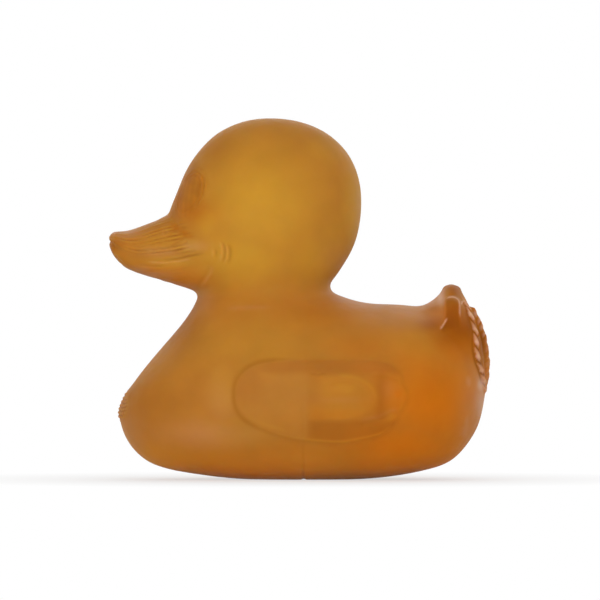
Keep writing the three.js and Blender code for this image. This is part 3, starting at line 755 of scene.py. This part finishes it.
def tail_tones(places, ribs):
    """Painted shade in the hollows and between the strands, painted highlights and painted glints on the
    strands, and uneven painted highlights on the rims of the side feathers.
    """
    flat = side_view(places)
    z = flat[:, 1]
    wide = np.abs(places[:, 1])
    side = on_side(places)
    depth = leaf_depth(places)
    # uneven strength of the painted highlights
    highlight_patchiness = 0.75 + 0.45 * ripple(places, 3, 17)
    edge = bell(depth - 0.1, 0.19) * ramp(45, 47, z) * ramp(40.5, 42, flat[:, 0])
    lines = side * np.maximum(groove(flat, LEAF_FOOT, 0.22, 0.6), groove(flat, RIB_HEAD, 0.22, 0.4))
    # painted highlights on the flutes
    pale = 0.4 * side * grooves(flat, FLUTES, 1, 2.5)
    # painted shade in the side feather's hollow and between the middle rib's barbs
    dark = ramp(-0.6, 0.9, depth) * (0.8 + 0.2 * ramp(50, 44, z)) * ramp(38, 43, z)
    cover, lay = middle_barbs(places)
    dark = np.maximum(dark, 0.5 * cover * ramp(0.3, 0, lay))
    # painted glints on the middle rib's barbs
    painted_glint = 0.6 * highlight_patchiness * cover * ramp(0.2, 0.8, lay) * ramp(1.6, 0.6, wide)
    for rib in ribs:
        cover, lay, across = side_barbs(places, rib)
        strand = ramp(0.15, 0.5, lay)
        beside = bell(np.abs(across) - 2.6, 1.2) * ramp(25, 29, z) * ramp(51, 48, z)
        on_rope = ramp(0.1, 0.5, cover)
        # painted shade in the groove beside the rope and between its strands
        dark = np.maximum(dark, 0.8 * side * beside) * (1 - cover)
        dark = np.maximum(dark, on_rope * (1 - strand))
        # painted highlights and painted glints on the strands
        pale = np.maximum(pale * (1 - cover), on_rope * strand * ramp(1.2, 0.3, across) * highlight_patchiness)
        painted_glint = np.maximum(painted_glint, 0.5 * on_rope * ramp(0.5, 0.9, lay) * ramp(0.9, 0, across) * highlight_patchiness)
    # painted highlights along the rims of the side feathers and their lines
    rim_highlights = highlight_patchiness * np.maximum(edge, lines)
    return {
        "painted_shade": dark * (1 - rim_highlights),
        "painted_sheen": np.maximum(pale, rim_highlights),
        "painted_glint": np.maximum(painted_glint, 0.4 * rim_highlights),
    }


def face_tones(places, seats):
    """Painted shade in the lines of bill, mouth, cheek and eyes and over the eyes, with painted highlights
    on the paler ridges beside them.
    """
    flat = side_view(places)
    side = on_side(places)
    on_mouth_line = ramp(-26, -29, places[:, 0]) * ramp(-40, -35, places[:, 0])
    mouth = bell(gap_to_mouth(places), 0.35) * on_mouth_line
    lines = grooves(flat, MOUTH_CORNER_LINES + [UNDER_LIP_LINE], 0.3, 0.8)
    creases, ridges = cheek_folds(places)
    root = groove(flat, BILL_ROOT_LINE, 1, 3)
    ticks = grooves(flat, EYE_TICKS, 0.35, 0.6)
    strokes = grooves(flat, EYE_STROKES, 0.3, 0.6)
    to_nostril = gap_to_nostril(places)
    nostril = bell(to_nostril - NOSTRIL_RING, 0.35)
    streaks = bill_streaks(places)
    eyes = np.zeros(len(places))
    for seat in seats:
        radius, on_face = round_eye(places, seat)
        eyes = np.maximum(eyes, ramp(EYE_RADIUS + 1.4, EYE_RADIUS - 2, radius) * on_face)
    specks = ripple(places, 3, 61)
    return {
        # painted highlights on the cheek ridges, eye strokes, raised streaks and lip line
        "painted_glow": np.maximum.reduce([
            0.9 * side * ridges, 0.5 * side * strokes, 0.6 * np.clip(streaks, 0, 1),
            0.5 * side * groove(flat, LIP_LINE, 0.45),
        ]),
        # painted shade in the bill's root crease, and a deeper orange over the eyes
        "amber": np.maximum(0.35 * side * root, 0.2 * eyes),
        # painted shade in the mouth, lines, creases, root, eye ticks, nostril, low streaks and over the
        # eyes
        "painted_shade": np.maximum.reduce([
            0.3 * mouth, 0.2 * side * lines, 0.26 * side * creases, 0.2 * side * root,
            0.35 * side * ticks, 0.2 * side * bell(to_nostril, 0.4), 0.5 * np.clip(-streaks, 0, 1),
            eyes * (0.36 + 0.2 * np.clip(-specks, 0, 1)),
        ]),
        # painted glow in specks over the eyes
        "painted_deep_glow": 0.12 * eyes * np.clip(specks, 0, 1),
        # painted highlights on the lip line, nostril ring, ridges, neck line and jaw crease
        "painted_sheen": np.maximum.reduce([
            0.22 * side * groove(flat, LIP_LINE, 0.4), 0.08 * side * nostril, 0.12 * side * ridges,
            0.14 * side * groove(flat, NECK_LINE, 0.6, 4), 0.14 * side * groove(flat, JAW_CREASE, 0.5),
        ]),
    }


def tuft_tones(places):
    """Painted shade over the tuft, deepest between its feathers, with painted highlights on their tips."""
    feathers = tuft_feathers(places)
    share = tuft_share(places)
    return {
        # painted shade, deepest between the feathers, with painted glow over the tuft and painted
        # highlights on the tips
        "painted_shade": share * (0.5 + 0.3 * ramp(0.5, 0.1, feathers)),
        "painted_glow": 0.6 * share,
        "painted_sheen": share * (0.15 + 0.3 * ramp(0.4, 0.8, feathers)),
    }


def write_tones(mesh, seats, ribs):
    """Stores the tones of painted light and shade. The soft marks run straight through the duck from side
    to side, so the ones at brow and rear are weaker round its middle plane, where they would meet as a
    band."""
    places = read_places(mesh)
    x, z = places[:, 0], places[:, 2]
    middle = ramp(10, 3, np.abs(places[:, 1]))
    brow = middle * ramp(-24, -28, x) * ramp(72, 76, z)
    rear = middle * ramp(44, 47, x) * ramp(25, 23, z)
    tones = {name: spots(places, marks) for name, marks in SKIN_MARKS.items()}
    # less painted shade on the brow, and uneven painted sheen, weaker at the rear
    tones["painted_shade"] *= 1 - 0.55 * brow
    tones["painted_sheen"] *= (0.85 + 0.35 * ripple(places, 18, 31)) * (1 - 0.4 * rear)
    parts = [wing_tones(places), tail_tones(places, ribs), face_tones(places, seats), tuft_tones(places)]
    for marks in parts:
        # each part's painted shade takes away the painted sheen under it
        tones["painted_sheen"] *= 1 - marks["painted_shade"]
        for name, mark in marks.items():
            tones[name] = np.maximum(tones[name], mark)
    for name, tone in tones.items():
        mesh.attributes.new(name, "FLOAT", "POINT").data.foreach_set("value", tone.astype(np.float32))


def make_duck():
    duck = merged_copy("rubber_duck", "duck_skin")
    even = duck.modifiers.new("even_faces", "REMESH")
    even.mode = "VOXEL"
    even.voxel_size = VOXEL * MM
    settle(duck)
    smooth_skin(duck)
    skin = skin_tree(duck.data)
    seats, ribs = eye_seats(skin), side_ribs(skin)
    add_relief(duck.data, seats, ribs)
    fewer_faces(duck)
    duck.data.shade_smooth()
    write_tones(duck.data, seats, ribs)
    duck.data.materials.clear()
    duck.data.materials.append(natural_rubber())
    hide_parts("rubber_duck")
    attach(duck, "root")


# The rubber

UNDER, OVER, MIXED = 6, 7, 2  # the colour sockets of a mix node
BODY_COLOUR = (0.385, 0.149, 0.0185)
# Colours of painted glow, a deeper orange, painted shade, painted light low down, painted sheen and painted
# glints, in that order
TONE_COLOURS = {
    "painted_glow": (0.485, 0.246, 0.022),
    "amber": (0.49, 0.135, 0.004),
    "painted_shade": (0.25, 0.064, 0.002),
    "painted_deep_glow": (0.88, 0.26, 0.008),
    "painted_sheen": (0.5, 0.24, 0.12),
    "painted_glint": (0.66, 0.45, 0.33),
}


def natural_rubber():
    """Matt translucent rubber, faintly mottled, with painted glow where a hollow duck's thin wall would let
    light through, painted shade where its wall would be thick, and painted sheen and glints.
    """
    material = bpy.data.materials.new("natural_rubber")
    material.use_nodes = True
    nodes, links = material.node_tree.nodes, material.node_tree.links
    shader = nodes["Principled BSDF"]
    place = nodes.new("ShaderNodeTexCoord")

    def noise(size, detail):
        texture = nodes.new("ShaderNodeTexNoise")
        texture.inputs["Scale"].default_value = 1 / (size * MM)
        texture.inputs["Detail"].default_value = detail
        links.new(place.outputs["Object"], texture.inputs["Vector"])
        return texture.outputs["Fac"]

    def scaled(value, low, high):
        scale = nodes.new("ShaderNodeMapRange")
        scale.inputs["From Min"].default_value = 0.3
        scale.inputs["From Max"].default_value = 0.7
        scale.inputs["To Min"].default_value = low
        scale.inputs["To Max"].default_value = high
        links.new(value, scale.inputs["Value"])
        return scale.outputs["Result"]

    def blend(share, under, over):
        mix = nodes.new("ShaderNodeMix")
        mix.data_type = "RGBA"
        links.new(share, mix.inputs["Factor"])
        links.new(under, mix.inputs[UNDER])
        mix.inputs[OVER].default_value = (*over, 1)
        return mix.outputs[MIXED]

    body = nodes.new("ShaderNodeRGB")
    body.outputs["Color"].default_value = (*BODY_COLOUR, 1)
    colour = body.outputs["Color"]
    for name, tone in TONE_COLOURS.items():
        attribute = nodes.new("ShaderNodeAttribute")
        attribute.attribute_name = name
        colour = blend(attribute.outputs["Fac"], colour, tone)
    mottle = nodes.new("ShaderNodeHueSaturation")
    links.new(scaled(noise(9, 3), 0.95, 1.05), mottle.inputs["Value"])
    links.new(colour, mottle.inputs["Color"])
    links.new(mottle.outputs["Color"], shader.inputs["Base Color"])
    links.new(scaled(noise(2.5, 4), 0.48, 0.6), shader.inputs["Roughness"])
    shader.inputs["IOR"].default_value = 1.3
    shader.inputs["Specular IOR Level"].default_value = 0.08
    shader.inputs["Subsurface Weight"].default_value = 0.7
    shader.inputs["Subsurface Radius"].default_value = (1, 0.5, 0.15)
    shader.inputs["Subsurface Scale"].default_value = 3 * MM
    grain = nodes.new("ShaderNodeBump")
    grain.inputs["Strength"].default_value = 0.12
    grain.inputs["Distance"].default_value = 0.08 * MM
    links.new(noise(0.7, 4), grain.inputs["Height"])
    links.new(grain.outputs["Normal"], shader.inputs["Normal"])
    return material


# Studio

CAMERA_AIM = (0.15, 50.17)  # middle of the picture, along X and up
CAMERA_REACH = 2600
VIEW_WIDTH = 168  # what the picture takes in, at the duck
LAMP_AIM = (0, 0, 45)
SKY_LIGHT = 0.7  # strength of the white world as a light
FLOOR_HALF = 3000
SHADOW_FADE = (50, 120)  # how far out the floor's shadow starts to fade into white, and where it is gone
SHADOW_WHITE = 0.6  # share of white in the floor where the shadow is strongest


def make_camera():
    data = bpy.data.cameras.new("camera")
    data.sensor_width = 36
    data.lens = data.sensor_width * CAMERA_REACH / VIEW_WIDTH
    data.clip_start = 0.1
    data.clip_end = 100
    camera = bpy.data.objects.new("camera", data)
    camera.location = Vector((CAMERA_AIM[0], -CAMERA_REACH, CAMERA_AIM[1])) * MM
    camera.rotation_euler = (math.pi / 2, 0, 0)
    bpy.context.scene.collection.objects.link(camera)
    bpy.context.scene.camera = camera


def softbox(name, place, width, height, power):
    """A flat lamp that looks at the middle of the duck."""
    data = bpy.data.lights.new(name, "AREA")
    data.shape = "RECTANGLE"
    data.size = width * MM
    data.size_y = height * MM
    data.energy = power
    lamp = bpy.data.objects.new(name, data)
    lamp.location = Vector(place) * MM
    aim = Vector(LAMP_AIM) * MM - lamp.location
    lamp.rotation_euler = aim.to_track_quat("-Z", "Y").to_euler()
    bpy.context.scene.collection.objects.link(lamp)


def white_seen(nodes, links):
    """1 in the rays that see something, straight or in gloss and glass, and 0 in the rays that light it."""
    path = nodes.new("ShaderNodeLightPath")
    seen = path.outputs["Is Camera Ray"]
    for ray in ("Is Glossy Ray", "Is Transmission Ray"):
        either = nodes.new("ShaderNodeMath")
        either.operation = "MAXIMUM"
        links.new(seen, either.inputs[0])
        links.new(path.outputs[ray], either.inputs[1])
        seen = either.outputs[0]
    return seen


def make_world():
    world = bpy.data.worlds.new("studio")
    world.use_nodes = True
    nodes, links = world.node_tree.nodes, world.node_tree.links
    light = nodes["Background"]
    light.inputs["Color"].default_value = (1, 1, 1, 1)
    light.inputs["Strength"].default_value = SKY_LIGHT
    white = nodes.new("ShaderNodeBackground")
    white.inputs["Color"].default_value = (1, 1, 1, 1)
    white.inputs["Strength"].default_value = 1
    mix = nodes.new("ShaderNodeMixShader")
    links.new(white_seen(nodes, links), mix.inputs["Fac"])
    links.new(light.outputs["Background"], mix.inputs[1])
    links.new(white.outputs["Background"], mix.inputs[2])
    links.new(mix.outputs["Shader"], nodes["World Output"].inputs["Surface"])
    bpy.context.scene.world = world


def pale_floor():
    """Matt white paper that keeps a soft shadow near the duck and is pure white further out."""
    material = bpy.data.materials.new("pale_floor")
    material.use_nodes = True
    nodes, links = material.node_tree.nodes, material.node_tree.links
    paper = nodes["Principled BSDF"]
    paper.inputs["Base Color"].default_value = (0.86, 0.86, 0.86, 1)
    paper.inputs["Roughness"].default_value = 0.9
    paper.inputs["Specular IOR Level"].default_value = 0.1
    white = nodes.new("ShaderNodeEmission")
    white.inputs["Strength"].default_value = 1
    place = nodes.new("ShaderNodeTexCoord")
    away = nodes.new("ShaderNodeVectorMath")
    away.operation = "LENGTH"
    links.new(place.outputs["Object"], away.inputs[0])
    paleness = nodes.new("ShaderNodeMapRange")
    paleness.inputs["From Min"].default_value = SHADOW_FADE[0] * MM
    paleness.inputs["From Max"].default_value = SHADOW_FADE[1] * MM
    paleness.inputs["To Min"].default_value = SHADOW_WHITE
    links.new(away.outputs["Value"], paleness.inputs["Value"])
    share = nodes.new("ShaderNodeMath")
    share.operation = "MULTIPLY"
    links.new(paleness.outputs["Result"], share.inputs[0])
    links.new(white_seen(nodes, links), share.inputs[1])
    mix = nodes.new("ShaderNodeMixShader")
    links.new(share.outputs[0], mix.inputs["Fac"])
    links.new(paper.outputs["BSDF"], mix.inputs[1])
    links.new(white.outputs["Emission"], mix.inputs[2])
    links.new(mix.outputs["Shader"], nodes["Material Output"].inputs["Surface"])
    return material


def make_floor():
    work = bmesh.new()
    bmesh.ops.create_grid(work, x_segments=1, y_segments=1, size=FLOOR_HALF * MM)
    mesh = bpy.data.meshes.new("floor")
    work.to_mesh(mesh)
    work.free()
    mesh.materials.append(pale_floor())
    floor = bpy.data.objects.new("floor", mesh)
    bpy.context.scene.collection.objects.link(floor)


make_camera()
make_world()
make_floor()
softbox("front", (-100, -1000, 60), 1400, 200, 9)
softbox("back", (150, 950, 500), 1400, 400, 3)
make_duck()
bpy.context.scene.view_settings.view_transform = "Standard"
